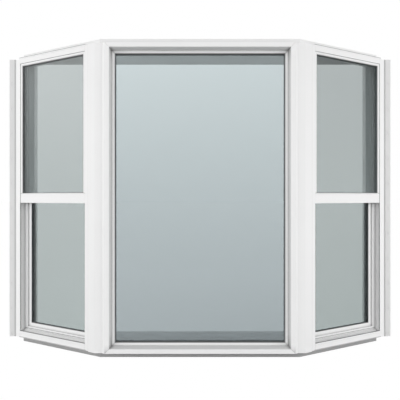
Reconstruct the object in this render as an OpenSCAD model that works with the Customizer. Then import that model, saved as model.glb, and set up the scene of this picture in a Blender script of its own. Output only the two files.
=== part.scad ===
// Three-sided bay window in white uPVC: a fixed picture window between two single-hung flankers.
// Millimetres. X runs along the wall, -Y faces outdoors and Z is up from the seat board's underside.
// Y = 0 is the outer face of the wall, where the nail fins lie.

/* [Bay] */
// Height of the three window units
frame_h = 1500; // [1200:10:1900]
// Angle of each flanker to the wall
bay_angle = 30; // [25:1:40]
// Width of the picture window
centre_w = 920; // [700:10:1400]
// Width of each flanker
flanker_w = 533; // [420:1:760]
// Depth of every window frame, outdoors to indoors
frame_depth = 83; // [78:1:100]

/* [Boards] */
// Thickness of the head and seat boards
board_t = 25; // [18:1:40]
// Distance of the boards' front edge behind the picture window's face
board_set_back = 31; // [15:1:50]
// Distance of the boards' flank edges behind the flankers' faces
board_flank_set_back = 21; // [10:1:50]
// Depth of the wall lining, from the nail fins to the room
wall_depth = 100; // [95:1:200]

/* [Corner posts] */
// Width of the cover's front facet
post_front = 48; // [30:1:80]
// Width of the cover's flank facet
post_flank = 44; // [30:1:70]
// Thickness of the cover
cover_t = 8; // [4:0.5:12]
// Width of the flanker's frame that the cover laps
cover_lap = 5; // [4:1:20]
// Distance that the picture window stands proud of the cover
centre_proud = 10; // [0:1:20]

/* [Wall jambs and nail fins] */
// Width of the flanker's rear face that the wall jamb laps
jamb_lap = 50; // [35:1:80]
// Width of the nail fin beyond the flanker
fin_w = 34; // [25:1:50]
// Thickness of the nail fin
fin_t = 2; // [1.5:0.1:3]
// Depth of the fin's leg along the wall jamb
fin_leg = 20; // [12:1:40]
// Distance of the nail slots from the flanker's outer corner
slot_offset = 19; // [12:1:25]
// Width of a nail slot
slot_w = 4.5; // [3:0.1:6]
// Length of a nail slot from end to end
slot_l = 16; // [8:1:30]
// Distance between nail slots
slot_pitch = 135; // [80:5:250]
// Height of the lowest nail slot above the fin's bottom end
slot_start = 17; // [12:1:60]

/* [Flanker frame] */
// Width of the jambs' face
frame_face = 34; // [28:1:50]
// Height of the head's face
head_face = 26.5; // [22:0.5:40]
// Thickness of the lip in front of the upper sash
lip_t = 2; // [2:0.5:6]
// Thickness of the parting stop between the two tracks
stop_t = 4; // [3:0.5:8]
// Distance that the parting stop's edge stands back from the lip's edge
stop_back = 3; // [0:0.5:3]
// Clearance all round a sash in its track
track_gap = 0.4; // [0.2:0.1:0.8]
// Height of the sill's front face
sill_face = 26.5; // [20:0.5:35]
// Height of the sill's slope above its face where it meets the lower sash
sill_rise = 13; // [6:0.5:20]
// Depth of the rain gutter behind the sill's lip
sill_gutter = 12; // [4:0.5:16]
// Depth that the lower sash drops behind the sill's slope
sill_lap = 11; // [2:0.5:14]
// Height of the dam on the room side of the sill above the track's floor
sill_dam = 22; // [8:0.5:30]
// Width of the balance channel's mouth in the jamb's inner track
balance_mouth = 9; // [6:0.5:12]
// Width of the balance channel behind its mouth
balance_w = 15; // [10:0.5:20]
// Thickness of the two lips that hold the balance
balance_lip = 2.2; // [1.5:0.1:4]
// Depth of the balance channel behind its lips
balance_depth = 11; // [8:0.5:16]

/* [Sashes] */
// Thickness of both sashes
sash_t = 27; // [26:0.5:30]
// Width of a sash that lies inside the frame's track
sash_lap = 6; // [4:0.5:10]
// Width of the upper sash's face that shows
upper_face = 14; // [12:0.5:40]
// Width of the lower sash's flat face that shows
lower_face = 19.5; // [15:0.5:50]
// Width of the lower sash's sloped bead
lower_bead = 20.5; // [12:0.5:24]
// Depth of the step from the lower sash's face to its bead
bead_step = 8; // [2:0.5:9]
// Height of the meeting rail
meeting_h = 52; // [42:1:80]
// Height of the meeting rail's top above the frame's bottom
meeting_top = 776; // [600:1:900]
// Width of the slope beside the upper sash's glass
upper_slope = 3; // [2:0.5:8]
// Height of the finger lift on the lower sash
lift_h = 7; // [5:0.5:10]
// Depth of the finger lift
lift_depth = 11; // [6:0.5:14]
// Slant of the finger lift's underside
lift_slant = 2; // [0:0.5:4]
// Distance of the finger lift below the glass
lift_drop = 7; // [4:0.5:12]
// Thickness of the hooks that interlock the two sashes where they meet
hook_t = 1.2; // [0.8:0.1:1.5]
// Height of each hook's lip
hook_h = 8; // [5:0.5:12]
// Distance of the lower sash's hook below its top
hook_drop = 3; // [1:0.5:8]
// Clearance round each hook
hook_gap = 0.7; // [0.4:0.1:0.9]

/* [Picture window] */
// Width of the frame's face
picture_face = 22; // [15:0.5:40]
// Width of the sloped reveal
picture_reveal = 9.5; // [4:0.5:20]
// Depth of the sloped reveal
reveal_depth = 30; // [20:0.5:32]
// Width of the glazing bead
bead_w = 12; // [10:0.5:25]
// Thickness of the glazing bead
bead_t = 9; // [7:0.5:11]
// Depth of the slope on the glazing bead's face
bead_slope = 5; // [2:0.5:6]
// Hairline joint between two glazing beads
bead_joint = 0.4; // [0.2:0.1:1]

/* [Glass] */
// Thickness of one pane
pane_t = 4; // [3:0.5:5]
// Space between the panes of the sashes
sash_cavity = 6; // [5:0.5:7]
// Space between the panes of the picture window
picture_cavity = 16; // [10:0.5:17]
// Depth of the glass in a sash's glazing channel
glass_bite = 8; // [6:0.5:12]
// Thickness of the upper sash in front of its glass
upper_front = 4.5; // [4:0.5:7]
// Thickness of the lower sash in front of its glass
lower_front = 10; // [9.5:0.5:10.5]
// Clearance between glass and its channel's cheeks
cheek_gap = 0.3; // [0.2:0.1:0.5]
// Clearance between the glass edge and its channel's floor
edge_gap = 1.5; // [0.5:0.5:4]
// Width of the spacer bar between the panes
spacer_w = 6; // [4:0.5:6.5]

/* [Sash lock] */
// Length of the lock's base
lock_l = 70; // [50:1:90]
// Width of the lock's base
lock_w = 18; // [12:1:24]
// Thickness of the lock's base
lock_t = 5; // [3:0.5:8]
// Diameter of the cam drum
drum_d = 15; // [10:1:17]
// Height of the cam drum
drum_h = 7; // [4:0.5:10]
// Length of the lever
lever_l = 42; // [30:1:60]
// Width of the lever
lever_w = 10; // [6:1:14]
// Thickness of the lever
lever_t = 4; // [3:0.5:6]
// Depth that the lock is let into the lower sash's top rail
lock_recess = 15; // [8:0.5:18]
// Clearance between the lock and its recess
lock_gap = 1.5; // [0.5:0.1:2]

/* [Hidden] */
$fn = 48;
SIDES = ["left", "right"];
SHARED_PARTS = [
    "head_board", "seat_board",
    "picture_frame_head", "picture_frame_sill", "picture_frame_left_jamb", "picture_frame_right_jamb",
    "picture_beads", "picture_outer_pane", "picture_inner_pane", "picture_spacer"
];
SIDE_PARTS = [
    "wall_jamb", "nail_fin", "corner_post", "post_cover",
    "frame_head", "frame_sill", "frame_outer_jamb", "frame_inner_jamb",
    "upper_sash_stiles", "upper_sash_top_rail", "meeting_rail", "upper_glass",
    "lower_sash_stiles", "lower_sash_rails", "lower_glass", "glass_spacers", "sash_lock"
];

vinyl = "#f3f5f5";
board_white = "#e9ebeb";
fin_white = "#dfe2e3";
glass_tint = "#b9c6c8";
spacer_grey = "#8b9092";
lock_white = "#eceeee";

// Directions along a flanker, from post to wall, and from its face towards the room
along = [cos(bay_angle), sin(bay_angle)];
inward = [-sin(bay_angle), cos(bay_angle)];

// Corners of the right-hand side in plan
cover_run = post_flank - cover_lap;
fold = [centre_w / 2 + post_front, -(flanker_w + cover_run) * sin(bay_angle) - cover_t * cos(bay_angle)];
flank_start = fold + cover_run * along + cover_t * inward;
flank_end = [flank_start[0] + flanker_w * cos(bay_angle), 0];
post_rear = flank_start + frame_depth * inward;
wall_rear = flank_end + frame_depth * inward;
centre_y = fold[1] - centre_proud;
post_x = centre_w / 2;
post_y = fold[1] + cover_t;
fold_back = [flank_start[0] + (post_y - flank_start[1]) / tan(bay_angle), post_y];
top_z = board_t + frame_h;

// Head and seat boards in plan
board_front = centre_y + board_set_back;
board_flank = flank_start + board_flank_set_back * inward;
board_corner_x = board_flank[0] + (board_front - board_flank[1]) / tan(bay_angle);
board_end_x = board_flank[0] - board_flank[1] / tan(bay_angle);

// Depths through the flanker's frame
track_w = sash_t + 2 * track_gap;
stop_v = lip_t + track_w;
lower_track_v = stop_v + stop_t;
room_lip_v = lower_track_v + track_w;
track_depth = sash_lap + track_gap;
track_floor = frame_face - track_depth;
upper_v = lip_t + track_gap;
lower_v = lower_track_v + track_gap;

// Sash outlines within the frame
sash_edge = frame_face - sash_lap;
sash_w = flanker_w - 2 * sash_edge;
upper_w = sash_lap + upper_face;
lower_w = sash_lap + lower_face + lower_bead;
upper_h = frame_h - (head_face - sash_lap) - meeting_top;
lower_z = sill_face + sill_rise - sill_lap;
lower_h = meeting_top - lower_z;

// Hooks in the gap between the two sashes, their lips side by side
meeting_gap = stop_t + 2 * track_gap;
hook_reach = meeting_gap - hook_gap;
hook_inset = sash_lap + hook_gap;
hook_overlap = hook_h - 3 * hook_gap;

// Glazing channel of the sashes
sash_unit_t = 2 * pane_t + sash_cavity;
channel_w = sash_unit_t + 2 * cheek_gap;
pane_inset = glass_bite - edge_gap;

// Picture window
picture_floor = picture_face + picture_reveal;
picture_sight = picture_floor + bead_w;
picture_unit_t = 2 * pane_t + picture_cavity;
picture_glass_v = reveal_depth + bead_t + cheek_gap;
picture_lip_v = picture_glass_v + picture_unit_t + cheek_gap;
picture_pane_edge = picture_floor + edge_gap;

slot_count = floor((frame_h - slot_start - slot_l) / slot_pitch) + 1;

// Profiles are lists of [depth towards the room, distance in from the outer edge]
function frame_profile(face) = [
    [0, 0], [0, face], [lip_t, face], [lip_t, face - track_depth],
    [stop_v, face - track_depth], [stop_v, face - stop_back],
    [lower_track_v, face - stop_back], [lower_track_v, face - track_depth],
    [room_lip_v, face - track_depth], [room_lip_v, face], [frame_depth, face], [frame_depth, 0]
];
plain_jamb = frame_profile(frame_face);
balance_v = (lower_track_v + room_lip_v) / 2;
balance_throat = track_floor - balance_lip;
jamb_profile = concat(
    [for (i = [0 : 7]) plain_jamb[i]],
    [
        [balance_v - balance_mouth / 2, track_floor], [balance_v - balance_mouth / 2, balance_throat],
        [balance_v - balance_w / 2, balance_throat], [balance_v - balance_w / 2, balance_throat - balance_depth],
        [balance_v + balance_w / 2, balance_throat - balance_depth], [balance_v + balance_w / 2, balance_throat],
        [balance_v + balance_mouth / 2, balance_throat], [balance_v + balance_mouth / 2, track_floor]
    ],
    [for (i = [8 : 11]) plain_jamb[i]]
);
sill_profile = [
    [0, 0], [0, sill_face], [lip_t, sill_face], [lip_t, sill_face - sill_gutter],
    [lower_track_v, sill_face + sill_rise], [lower_track_v, lower_z - track_gap],
    [room_lip_v, lower_z - track_gap], [room_lip_v, lower_z + sill_dam],
    [frame_depth, lower_z + sill_dam], [frame_depth, 0]
];
picture_profile = [
    [0, 0], [0, picture_face], [reveal_depth, picture_floor], [picture_lip_v, picture_floor],
    [picture_lip_v, picture_sight], [frame_depth, picture_sight], [frame_depth, 0]
];
bead_profile = [[0, 0], [bead_slope, bead_w], [bead_t, bead_w], [bead_t, 0]];

// Room side of a sash, from the glazing channel's mouth back to the outer edge
function channel_side(width, front) = [
    [front, width], [front, width - glass_bite], [front + channel_w, width - glass_bite],
    [front + channel_w, width], [sash_t, width], [sash_t, 0]
];
function upper_profile(width) = concat([[0, 0], [0, width - upper_slope]], channel_side(width, upper_front));
lower_profile = concat(
    [[0, 0], [0, sash_lap + lower_face], [bead_step, sash_lap + lower_face]],
    channel_side(lower_w, lower_front)
);
lift_top = lower_w - lift_drop;
lift_profile = [
    [sash_t, lift_top - lift_h], [sash_t + lift_depth, lift_top - lift_h + lift_slant],
    [sash_t + lift_depth, lift_top], [sash_t, lift_top]
];

// A hook that stands off a face at depth 0, with its lip turned away from the root
hook_profile = [
    [-1, 0], [hook_reach, 0], [hook_reach, hook_h], [hook_reach - hook_t, hook_h],
    [hook_reach - hook_t, hook_t], [-1, hook_t]
];

// A profile carried along X, its depth along Y and its width along Z
module bar(length, profile) {
    rotate([90, 0, 90]) linear_extrude(length) polygon(profile);
}

// A bar whose ends are cut at 45 degrees, or left square where a mitre is 0
module mitred_bar(length, profile, width, depth, joint = 0, start_mitre = 1, end_mitre = 1) {
    intersection() {
        bar(length, profile);
        translate([0, depth, 0]) rotate([90, 0, 0]) linear_extrude(depth)
            polygon([
                [joint * start_mitre, 0], [length - joint * end_mitre, 0],
                [length - (width + joint) * end_mitre, width], [(width + joint) * start_mitre, width]
            ]);
    }
}

// Places of the four sides of a rectangle that stands in the XZ plane
module at_bottom() {
    children();
}

module at_top(width, height) {
    translate([width, 0, height]) rotate([0, 180, 0]) children();
}

module at_left(height) {
    translate([0, 0, height]) rotate([0, 90, 0]) children();
}

module at_right(width) {
    translate([width, 0, 0]) rotate([0, -90, 0]) children();
}

// A flat ring of bars between two panes
module spacer_ring(width, height, thickness) {
    difference() {
        cube([width, thickness, height]);
        translate([spacer_w, -1, spacer_w]) cube([width - 2 * spacer_w, thickness + 2, height - 2 * spacer_w]);
    }
}

// A bar of even thickness with round ends, centred on the origin
module stadium(length, width, thickness) {
    linear_extrude(thickness) {
        square([length - width, width], center = true);
        for (end = [-1, 1]) translate([end * (length - width) / 2, 0]) circle(d = width);
    }
}

// Frames of reference
module on_side(side) {
    if (side == "left") {
        mirror([1, 0, 0]) children();
    } else {
        children();
    }
}

module in_picture() {
    translate([-centre_w / 2, centre_y, board_t]) children();
}

module in_flanker() {
    translate([flank_start[0], flank_start[1], board_t]) rotate([0, 0, bay_angle]) children();
}

module in_upper_sash() {
    in_flanker() translate([sash_edge, upper_v, meeting_top]) children();
}

module in_lower_sash() {
    in_flanker() translate([sash_edge, lower_v, lower_z]) children();
}

// Head and seat boards
module board() {
    linear_extrude(board_t)
        polygon([
            [-board_end_x, wall_depth], [-board_end_x, 0], [-board_corner_x, board_front],
            [board_corner_x, board_front], [board_end_x, 0], [board_end_x, wall_depth]
        ]);
}

module head_board() {
    color(board_white) translate([0, 0, top_z]) board();
}

module seat_board() {
    color(board_white) board();
}

// Picture window
module picture_side(length) {
    mitred_bar(length, picture_profile, picture_sight, frame_depth);
}

module picture_frame_head() {
    color(vinyl) in_picture() at_top(centre_w, frame_h) picture_side(centre_w);
}

module picture_frame_sill() {
    color(vinyl) in_picture() at_bottom() picture_side(centre_w);
}

module picture_frame_left_jamb() {
    color(vinyl) in_picture() at_left(frame_h) picture_side(frame_h);
}

module picture_frame_right_jamb() {
    color(vinyl) in_picture() at_right(centre_w) picture_side(frame_h);
}

module picture_beads() {
    width = centre_w - 2 * picture_floor;
    height = frame_h - 2 * picture_floor;
    color(vinyl) in_picture() translate([picture_floor, reveal_depth, picture_floor]) {
        at_bottom() mitred_bar(width, bead_profile, bead_w, bead_t, bead_joint);
        at_top(width, height) mitred_bar(width, bead_profile, bead_w, bead_t, bead_joint);
        at_left(height) mitred_bar(height, bead_profile, bead_w, bead_t, bead_joint);
        at_right(width) mitred_bar(height, bead_profile, bead_w, bead_t, bead_joint);
    }
}

module in_picture_unit(depth) {
    in_picture() translate([picture_pane_edge, picture_glass_v + depth, picture_pane_edge]) children();
}

module picture_pane() {
    cube([centre_w - 2 * picture_pane_edge, pane_t, frame_h - 2 * picture_pane_edge]);
}

module picture_outer_pane() {
    color(glass_tint) in_picture_unit(0) picture_pane();
}

module picture_inner_pane() {
    color(glass_tint) in_picture_unit(pane_t + picture_cavity) picture_pane();
}

module picture_spacer() {
    color(spacer_grey) in_picture_unit(pane_t)
        spacer_ring(centre_w - 2 * picture_pane_edge, frame_h - 2 * picture_pane_edge, picture_cavity);
}

// Wall jamb, nail fin and corner post of the right-hand side
module wall_jamb() {
    inner = wall_rear - jamb_lap * along;
    color(board_white) translate([0, 0, board_t]) linear_extrude(frame_h)
        polygon([
            inner, wall_rear, [flank_end[0] - fin_t * tan(bay_angle), fin_t], [flank_end[0], fin_t],
            [flank_end[0], wall_depth], [inner[0], wall_depth]
        ]);
}

module nail_slot() {
    rotate([-90, 90, 0]) translate([0, 0, -1]) stadium(slot_l, slot_w, fin_t + 2);
}

module nail_fin() {
    color(fin_white) translate([flank_end[0], 0, board_t]) difference() {
        linear_extrude(frame_h)
            polygon([
                [0, 0], [fin_w, 0], [fin_w, fin_t], [fin_t, fin_t], [fin_t, fin_leg], [0, fin_leg],
                [0, fin_t], [-fin_t * tan(bay_angle), fin_t]
            ]);
        for (i = [0 : slot_count - 1])
            translate([slot_offset, 0, slot_start + i * slot_pitch]) nail_slot();
    }
}

module corner_post() {
    color(vinyl) translate([0, 0, board_t]) linear_extrude(frame_h)
        polygon([
            [post_x, post_y], fold_back, flank_start, post_rear, [post_x, centre_y + frame_depth]
        ]);
}

module post_cover() {
    lap_end = flank_start + cover_lap * along;
    color(vinyl) translate([0, 0, board_t]) linear_extrude(frame_h)
        polygon([
            [post_x, fold[1]], fold, lap_end - cover_t * inward, lap_end, fold_back, [post_x, post_y]
        ]);
}

// Flanker's outer frame
module inner_jamb_bar(profile) {
    linear_extrude(frame_h) polygon([for (p = profile) [p[1], p[0]]]);
}

module outer_jamb_bar(profile) {
    translate([flanker_w, 0, 0]) mirror([1, 0, 0]) inner_jamb_bar(profile);
}

module between_jambs() {
    difference() {
        children();
        inner_jamb_bar(plain_jamb);
        outer_jamb_bar(plain_jamb);
    }
}

module frame_inner_jamb() {
    color(vinyl) in_flanker() inner_jamb_bar(jamb_profile);
}

module frame_outer_jamb() {
    color(vinyl) in_flanker() outer_jamb_bar(jamb_profile);
}

module frame_head() {
    color(vinyl) in_flanker() between_jambs()
        at_top(flanker_w, frame_h) bar(flanker_w, frame_profile(head_face));
}

module frame_sill() {
    color(vinyl) in_flanker() between_jambs() bar(flanker_w, sill_profile);
}

// Upper sash, which is fixed, and the meeting rail under it
module upper_sash_stiles() {
    profile = upper_profile(upper_w);
    color(vinyl) in_upper_sash() {
        at_left(upper_h) mitred_bar(upper_h, profile, upper_w, sash_t, end_mitre = 0);
        at_right(sash_w) mitred_bar(upper_h, profile, upper_w, sash_t, start_mitre = 0);
    }
}

module upper_sash_top_rail() {
    color(vinyl) in_upper_sash() at_top(sash_w, upper_h)
        mitred_bar(sash_w, upper_profile(upper_w), upper_w, sash_t);
}

module meeting_hook() {
    translate([hook_inset, 0, 0]) bar(sash_w - 2 * hook_inset, hook_profile);
}

module meeting_rail() {
    hook_root = -hook_drop - 2 * hook_h + hook_overlap;
    color(vinyl) in_upper_sash() {
        translate([0, 0, -meeting_h]) bar(sash_w, upper_profile(meeting_h));
        translate([0, sash_t, hook_root]) meeting_hook();
    }
}

module sash_panes(width, height) {
    for (depth = [0, pane_t + sash_cavity])
        translate([0, depth, 0]) cube([width, pane_t, height]);
}

module in_upper_unit(depth = 0) {
    in_upper_sash()
        translate([upper_w - pane_inset, upper_front + cheek_gap + depth, -pane_inset]) children();
}

upper_pane_w = sash_w - 2 * (upper_w - pane_inset);
upper_pane_h = upper_h - upper_w + 2 * pane_inset;

module upper_glass() {
    color(glass_tint) in_upper_unit() sash_panes(upper_pane_w, upper_pane_h);
}

// Lower sash, which slides behind the upper one
module lower_sash_stiles() {
    color(vinyl) in_lower_sash() {
        at_left(lower_h) mitred_bar(lower_h, lower_profile, lower_w, sash_t);
        at_right(sash_w) mitred_bar(lower_h, lower_profile, lower_w, sash_t);
    }
}

module in_lock() {
    translate([sash_w / 2, sash_t / 2, lower_h - lock_recess]) children();
}

module lower_sash_rails() {
    color(vinyl) in_lower_sash() {
        at_bottom() {
            mitred_bar(sash_w, lower_profile, lower_w, sash_t);
            mitred_bar(sash_w, lift_profile, lower_w, sash_t + lift_depth);
        }
        difference() {
            at_top(sash_w, lower_h) mitred_bar(sash_w, lower_profile, lower_w, sash_t);
            in_lock() stadium(lock_l + 2 * lock_gap, lock_w + 2 * lock_gap, lock_recess + 1);
        }
        translate([0, 0, lower_h - hook_drop]) rotate([180, 0, 0]) meeting_hook();
    }
}

module in_lower_unit(depth = 0) {
    in_lower_sash()
        translate([lower_w - pane_inset, lower_front + cheek_gap + depth, lower_w - pane_inset]) children();
}

lower_pane_w = sash_w - 2 * (lower_w - pane_inset);
lower_pane_h = lower_h - 2 * (lower_w - pane_inset);

module lower_glass() {
    color(glass_tint) in_lower_unit() sash_panes(lower_pane_w, lower_pane_h);
}

module glass_spacers() {
    color(spacer_grey) {
        in_upper_unit(pane_t) spacer_ring(upper_pane_w, upper_pane_h, sash_cavity);
        in_lower_unit(pane_t) spacer_ring(lower_pane_w, lower_pane_h, sash_cavity);
    }
}

// Cam lock let into the top of the lower sash
module sash_lock() {
    color(lock_white) in_lower_sash() in_lock() {
        stadium(lock_l, lock_w, lock_t);
        cylinder(d = drum_d, h = lock_t + drum_h);
        translate([(lever_l - lever_w) / 2, 0, lock_t + drum_h]) stadium(lever_l, lever_w, lever_t);
    }
}

head_board();
seat_board();
picture_frame_head();
picture_frame_sill();
picture_frame_left_jamb();
picture_frame_right_jamb();
picture_beads();
picture_outer_pane();
picture_inner_pane();
picture_spacer();
for (side = SIDES) on_side(side) {
    wall_jamb();
    nail_fin();
    corner_post();
    post_cover();
    frame_head();
    frame_sill();
    frame_outer_jamb();
    frame_inner_jamb();
    upper_sash_stiles();
    upper_sash_top_rail();
    meeting_rail();
    upper_glass();
    lower_sash_stiles();
    lower_sash_rails();
    lower_glass();
    glass_spacers();
    sash_lock();
}
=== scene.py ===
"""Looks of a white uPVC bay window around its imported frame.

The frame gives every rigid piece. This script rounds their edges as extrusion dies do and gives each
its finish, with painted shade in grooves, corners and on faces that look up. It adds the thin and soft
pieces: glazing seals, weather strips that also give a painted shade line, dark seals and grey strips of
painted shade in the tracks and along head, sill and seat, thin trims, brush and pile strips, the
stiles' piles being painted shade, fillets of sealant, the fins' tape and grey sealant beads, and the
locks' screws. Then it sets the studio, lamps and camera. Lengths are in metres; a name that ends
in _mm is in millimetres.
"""

import logging
import math
from dataclasses import dataclass, replace
from enum import Enum

import bpy
import numpy as np
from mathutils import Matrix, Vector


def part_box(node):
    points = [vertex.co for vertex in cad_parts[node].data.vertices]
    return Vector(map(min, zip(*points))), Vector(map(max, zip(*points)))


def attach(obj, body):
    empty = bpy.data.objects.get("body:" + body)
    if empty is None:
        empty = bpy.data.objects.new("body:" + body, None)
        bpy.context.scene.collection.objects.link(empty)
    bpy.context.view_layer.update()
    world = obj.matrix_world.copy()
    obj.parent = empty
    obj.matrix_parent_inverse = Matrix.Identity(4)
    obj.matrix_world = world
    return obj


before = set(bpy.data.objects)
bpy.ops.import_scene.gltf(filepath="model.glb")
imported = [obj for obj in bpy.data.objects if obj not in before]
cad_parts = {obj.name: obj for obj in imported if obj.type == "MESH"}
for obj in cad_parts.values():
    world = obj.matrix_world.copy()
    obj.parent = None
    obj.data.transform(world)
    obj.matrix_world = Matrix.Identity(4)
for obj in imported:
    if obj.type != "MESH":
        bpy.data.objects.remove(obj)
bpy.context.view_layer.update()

LOG = logging.getLogger("bay_window")
MM = 0.001
BODY = "root"
BAY_ANGLE = math.radians(30)
WHITE = (1.0, 1.0, 1.0, 1.0)

# Edge rounding: points closer than the weld become one, faces within the flat limit are joined, and
# an edge sharper than the corner limit is rounded in a few steps
WELD_MM = 0.01
FLAT_LIMIT = math.radians(1)
CORNER_LIMIT = math.radians(20)
EDGE_STEPS = 2
FRAME_EDGE_MM = 0.8


class Side(Enum):
    """The two flankers, as seen from outdoors, with the sign of their X."""

    LEFT = -1
    RIGHT = 1

    def node(self, part: str) -> str:
        """Name of this side's node for a part."""
        return f"{self.name.lower()}_{part}"


class Facing(Enum):
    """The two ways through a window unit, with the sign of its depth."""

    OUTDOORS = -1.0
    ROOM = 1.0


class Run(Enum):
    """The ways a straight piece runs along its unit, with the number of that axis."""

    ACROSS = 0
    UP = 2


class Slot(Enum):
    """The record's material slots, listed beside some added pieces, which take their finish from the
    finishes instead.
    """

    UPVC = "upvc_white"
    FIN = "fin_white"
    SPACER = "spacer_bar"
    LOCK = "lock_white"


def linear_rgb(hex_colour: str) -> tuple[float, float, float, float]:
    """Turns an sRGB hex colour into linear RGBA.

    A channel c becomes c / 12.92 up to 0.04045, and ((c + 0.055) / 1.055) ** 2.4 above it.

    Args:
        hex_colour: six hex digits after a hash sign.

    Returns:
        Linear red, green, blue and an alpha of 1.
    """
    srgb = np.array([int(hex_colour[i:i + 2], 16) for i in (1, 3, 5)]) / 255
    linear = np.where(srgb <= 0.04045, srgb / 12.92, ((srgb + 0.055) / 1.055) ** 2.4)
    return (*linear.tolist(), 1.0)


def add_node(
    tree: bpy.types.NodeTree,
    kind: str,
    values: dict | None = None,
    links: dict | None = None,
    **settings: object,
) -> bpy.types.Node:
    """Adds one node to a tree.

    Args:
        tree: the material's or world's node tree.
        kind: the node's type name.
        values: input name or index to a plain value.
        links: input name or index to the output socket that feeds it.
        settings: the node's own attributes.

    Returns:
        The new node.
    """
    made = tree.nodes.new(kind)
    for name, value in settings.items():
        setattr(made, name, value)
    for name, value in (values or {}).items():
        made.inputs[name].default_value = value
    for name, socket in (links or {}).items():
        tree.links.new(socket, made.inputs[name])
    return made


@dataclass(frozen=True)
class Finish:
    """A finish that is named for its real material and becomes a node material."""

    name: str

    def shader(self, tree: bpy.types.NodeTree, coords: bpy.types.NodeSocket) -> bpy.types.NodeSocket:
        """Adds the nodes of one kind of finish.

        Args:
            tree: the material's node tree.
            coords: the Object coordinates that patterns read.

        Returns:
            The shader's socket.
        """
        raise NotImplementedError

    def make(self) -> bpy.types.Material:
        """Builds the node material.

        Returns:
            The material.
        """
        material = bpy.data.materials.new(self.name)
        material.use_nodes = True
        tree = material.node_tree
        tree.nodes.clear()
        coords = add_node(tree, "ShaderNodeTexCoord").outputs["Object"]
        add_node(tree, "ShaderNodeOutputMaterial", links={"Surface": self.shader(tree, coords)})
        return material


@dataclass(frozen=True)
class Moulded(Finish):
    """A dense material with a nearly even colour, a soft gloss and a fine surface grain.

    The colour drifts between two close tones over broad_mm, and the grain of grain_mm makes the
    highlights slightly uneven. Real grain and fibres are a tenth of a millimetre or finer, so they are
    drawn coarser here, as wide as they need to show. Dust and painted top shade dull the faces that look
    up, by dust_and_top_shade_share where they lie level, and the painted_shade colour fills grooves and
    inner corners of up to painted_shade_mm as painted shade.
    """

    pale: str
    deep: str
    roughness: tuple[float, float]
    ior: float = 1.5
    metallic: float = 0.0
    broad_mm: float = 240.0
    broad_detail: float = 3.0
    grain_mm: float = 3.0
    grain_detail: float = 2.0
    grain_height_mm: float = 0.01
    sheen: float = 0.0
    # painted shade: a colour that ambient occlusion lays into grooves and inner corners
    painted_shade: str | None = None
    painted_shade_mm: float = 30.0
    painted_shade_openness: float = 0.25
    painted_shade_rays: int = 8
    # dust and painted shade: a grey film laid on faces that look up, by their normal's Z
    dust_and_top_shade: str | None = None
    dust_and_top_shade_share: float = 0.36

    def layers(self, tree: bpy.types.NodeTree) -> list[tuple[str, bpy.types.NodeSocket]]:
        """Works out what lies over the two tones.

        Dust and painted top shade cover a face by dust_and_top_shade_share times its normal's Z. The
        painted_shade colour, which is painted shade, covers it more as its openness falls from 1, and
        wholly at painted_shade_openness.

        Args:
            tree: the material's node tree.

        Returns:
            Each layer's hex colour and the share of it that shows, the lowest layer first.
        """
        found = []
        # dust and painted top shade on faces that look up
        if self.dust_and_top_shade is not None:
            normal = add_node(tree, "ShaderNodeNewGeometry").outputs["Normal"]
            level = add_node(tree, "ShaderNodeSeparateXYZ", links={"Vector": normal})
            lying = add_node(
                tree, "ShaderNodeMath", {1: self.dust_and_top_shade_share}, {0: level.outputs["Z"]},
                operation="MULTIPLY", use_clamp=True,
            )
            found.append((self.dust_and_top_shade, lying.outputs["Value"]))
        # painted shade in grooves and inner corners, from ambient occlusion
        if self.painted_shade is not None:
            openness = add_node(
                tree, "ShaderNodeAmbientOcclusion", {"Distance": self.painted_shade_mm * MM},
                samples=self.painted_shade_rays,
            )
            depth = add_node(
                tree, "ShaderNodeMapRange", {"From Min": 1.0, "From Max": self.painted_shade_openness},
                {"Value": openness.outputs["AO"]},
            )
            found.append((self.painted_shade, depth.outputs["Result"]))
        return found

    def colour(self, tree: bpy.types.NodeTree, coords: bpy.types.NodeSocket) -> bpy.types.NodeSocket:
        """Drifts between the two tones, then lays the dust and painted top shade and the painted shade of
        crevices over them.

        Args:
            tree: the material's node tree.
            coords: the Object coordinates.

        Returns:
            The colour's socket.
        """
        broad = add_node(
            tree, "ShaderNodeTexNoise", {"Scale": 1 / (self.broad_mm * MM), "Detail": self.broad_detail},
            {"Vector": coords},
        )
        tone = add_node(
            tree, "ShaderNodeMix", {"A": linear_rgb(self.pale), "B": linear_rgb(self.deep)},
            {"Factor": broad.outputs["Fac"]}, data_type="RGBA",
        ).outputs["Result"]
        for over, share in self.layers(tree):
            tone = add_node(
                tree, "ShaderNodeMix", {"B": linear_rgb(over)}, {"Factor": share, "A": tone},
                data_type="RGBA",
            ).outputs["Result"]
        return tone

    def shader(self, tree: bpy.types.NodeTree, coords: bpy.types.NodeSocket) -> bpy.types.NodeSocket:
        """Adds the skin: its colour, and a gloss and bump that follow the grain.

        Args:
            tree: the material's node tree.
            coords: the Object coordinates.

        Returns:
            The shader's socket.
        """
        grain = add_node(
            tree, "ShaderNodeTexNoise", {"Scale": 1 / (self.grain_mm * MM), "Detail": self.grain_detail},
            {"Vector": coords},
        )
        gloss = add_node(
            tree, "ShaderNodeMapRange", {"To Min": self.roughness[0], "To Max": self.roughness[1]},
            {"Value": grain.outputs["Fac"]},
        )
        bump = add_node(
            tree, "ShaderNodeBump", {"Strength": 1.0, "Distance": self.grain_height_mm * MM},
            {"Height": grain.outputs["Fac"]},
        )
        skin = add_node(
            tree, "ShaderNodeBsdfPrincipled",
            {"IOR": self.ior, "Metallic": self.metallic, "Sheen Weight": self.sheen},
            {
                "Base Color": self.colour(tree, coords),
                "Roughness": gloss.outputs["Result"],
                "Normal": bump.outputs["Normal"],
            },
        )
        return skin.outputs["BSDF"]


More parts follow.
